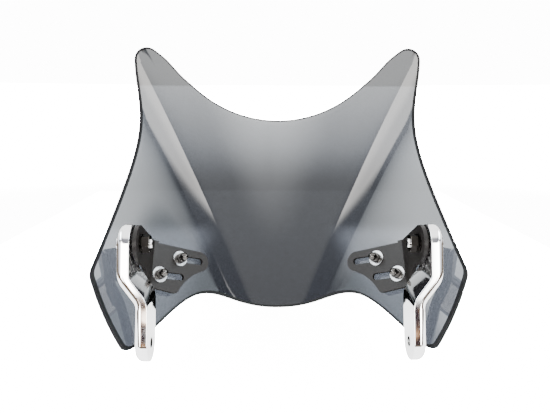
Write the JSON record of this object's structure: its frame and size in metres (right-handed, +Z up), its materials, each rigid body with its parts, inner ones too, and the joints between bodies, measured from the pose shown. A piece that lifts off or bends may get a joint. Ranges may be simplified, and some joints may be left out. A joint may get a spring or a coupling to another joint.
{
  "type": "windshield screen",
  "caption": "Smoked motorcycle windscreen with a notched top and flared wings, held by slotted black brackets on chromed side arms that hinge for rake.",
  "frame": {"origin": "on the floor under the middle of the bounding box, with the part standing on the screen's middle and its two arms", "axes": "+Z up, +X to the rider's right, +Y forward, away from the rider"},
  "size_m": [0.4066, 0.1998, 0.324],
  "materials": {
    "smoked_acrylic": "polished see-through grey sheet",
    "black_powder_coat": "satin black powder coat",
    "black_chrome": "polished black chrome",
    "bright_zinc": "bright zinc plate",
    "polished_chrome": "mirror chrome plate",
    "black_rubber": "matt black rubber"
  },
  "bodies": {
    "screen": {"windscreen": "smoked_acrylic", "left_bracket_screws": "black_chrome", "left_outer_washers": "black_rubber", "left_grommets": "black_rubber", "left_flat_washers": "bright_zinc", "left_spring_washers": "black_chrome", "left_acorn_nuts": "black_chrome", "right_bracket_screws": "black_chrome", "right_outer_washers": "black_rubber", "right_grommets": "black_rubber", "right_flat_washers": "bright_zinc", "right_spring_washers": "black_chrome", "right_acorn_nuts": "black_chrome"},
    "left_bracket": {"left_bracket": "black_powder_coat"},
    "left_arm": {"left_arm": "polished_chrome", "left_pivot_bolt": "polished_chrome", "left_pivot_spacer": "black_powder_coat", "left_pivot_washer": "black_chrome", "left_pivot_nut": "black_chrome"},
    "right_bracket": {"right_bracket": "black_powder_coat"},
    "right_arm": {"right_arm": "polished_chrome", "right_pivot_bolt": "polished_chrome", "right_pivot_spacer": "black_powder_coat", "right_pivot_washer": "black_chrome", "right_pivot_nut": "black_chrome"}
  },
  "joints": [
    {"name": "left_slot_slide", "type": "slide", "parent": "screen", "child": "left_bracket", "axis": [-0.7721, -0.5522, 0.3145], "range_m": [0, 0.028]},
    {"name": "left_rake_hinge", "type": "hinge", "parent": "left_bracket", "child": "left_arm", "pos_m": [-0.1465, -0.05414, 0.11605], "axis": [-1, 0, 0], "range_deg": [-3, 45]},
    {"name": "right_slot_slide", "type": "slide", "parent": "screen", "child": "right_bracket", "axis": [0.7721, -0.5522, 0.3145], "range_m": [0, 0.028]},
    {"name": "right_rake_hinge", "type": "hinge", "parent": "right_bracket", "child": "right_arm", "pos_m": [0.1465, -0.05414, 0.11605], "axis": [-1, 0, 0], "range_deg": [-3, 45]}
  ]
}
